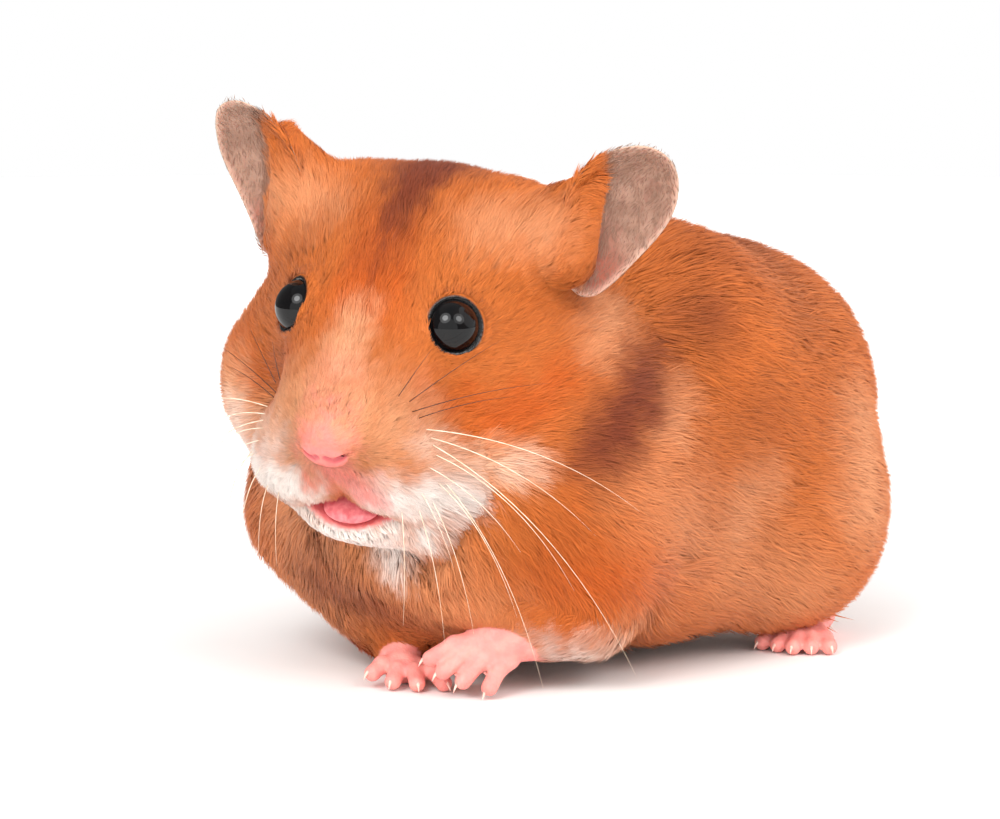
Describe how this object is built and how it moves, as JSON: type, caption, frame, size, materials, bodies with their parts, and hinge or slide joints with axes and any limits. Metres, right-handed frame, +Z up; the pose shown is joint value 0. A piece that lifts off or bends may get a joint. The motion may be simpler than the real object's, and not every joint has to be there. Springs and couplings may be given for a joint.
{
  "type": "syrian hamster",
  "caption": "Life-size still model of a short-haired golden hamster, crouching with its head turned and one forepaw held across the other.",
  "frame": {"origin": "on the floor, under the middle of the animal's bounding box, ear tips and tail tip included", "axes": "+Z up; the trunk lies along Y with the head at -Y; +X is the animal's left"},
  "size_m": [0.0654, 0.1012, 0.0716],
  "materials": {
    "coat": "short dense fur, orange with a dark crown and flank stripe, white muzzle and chest",
    "bare_skin": "soft pink skin with fine creases",
    "ear_skin": "thin grey-brown skin with down",
    "eye": "wet black",
    "tongue": "moist pink",
    "claw": "pale horn",
    "whisker": "stiff hair"
  },
  "bodies": {
    "root": {"head": "coat", "neck": "coat", "chest": "coat", "trunk": "coat", "tail": "bare_skin", "foreleg_left": "coat", "foreleg_right": "coat", "hindleg_left": "coat", "hindleg_right": "coat", "forepaw_left": "bare_skin", "forepaw_right": "bare_skin", "hindfoot_left": "bare_skin", "hindfoot_right": "bare_skin", "ear_left": "ear_skin", "ear_right": "ear_skin", "eye_left": "eye", "eye_right": "eye", "tongue": "tongue"}
  },
  "joints": []
}
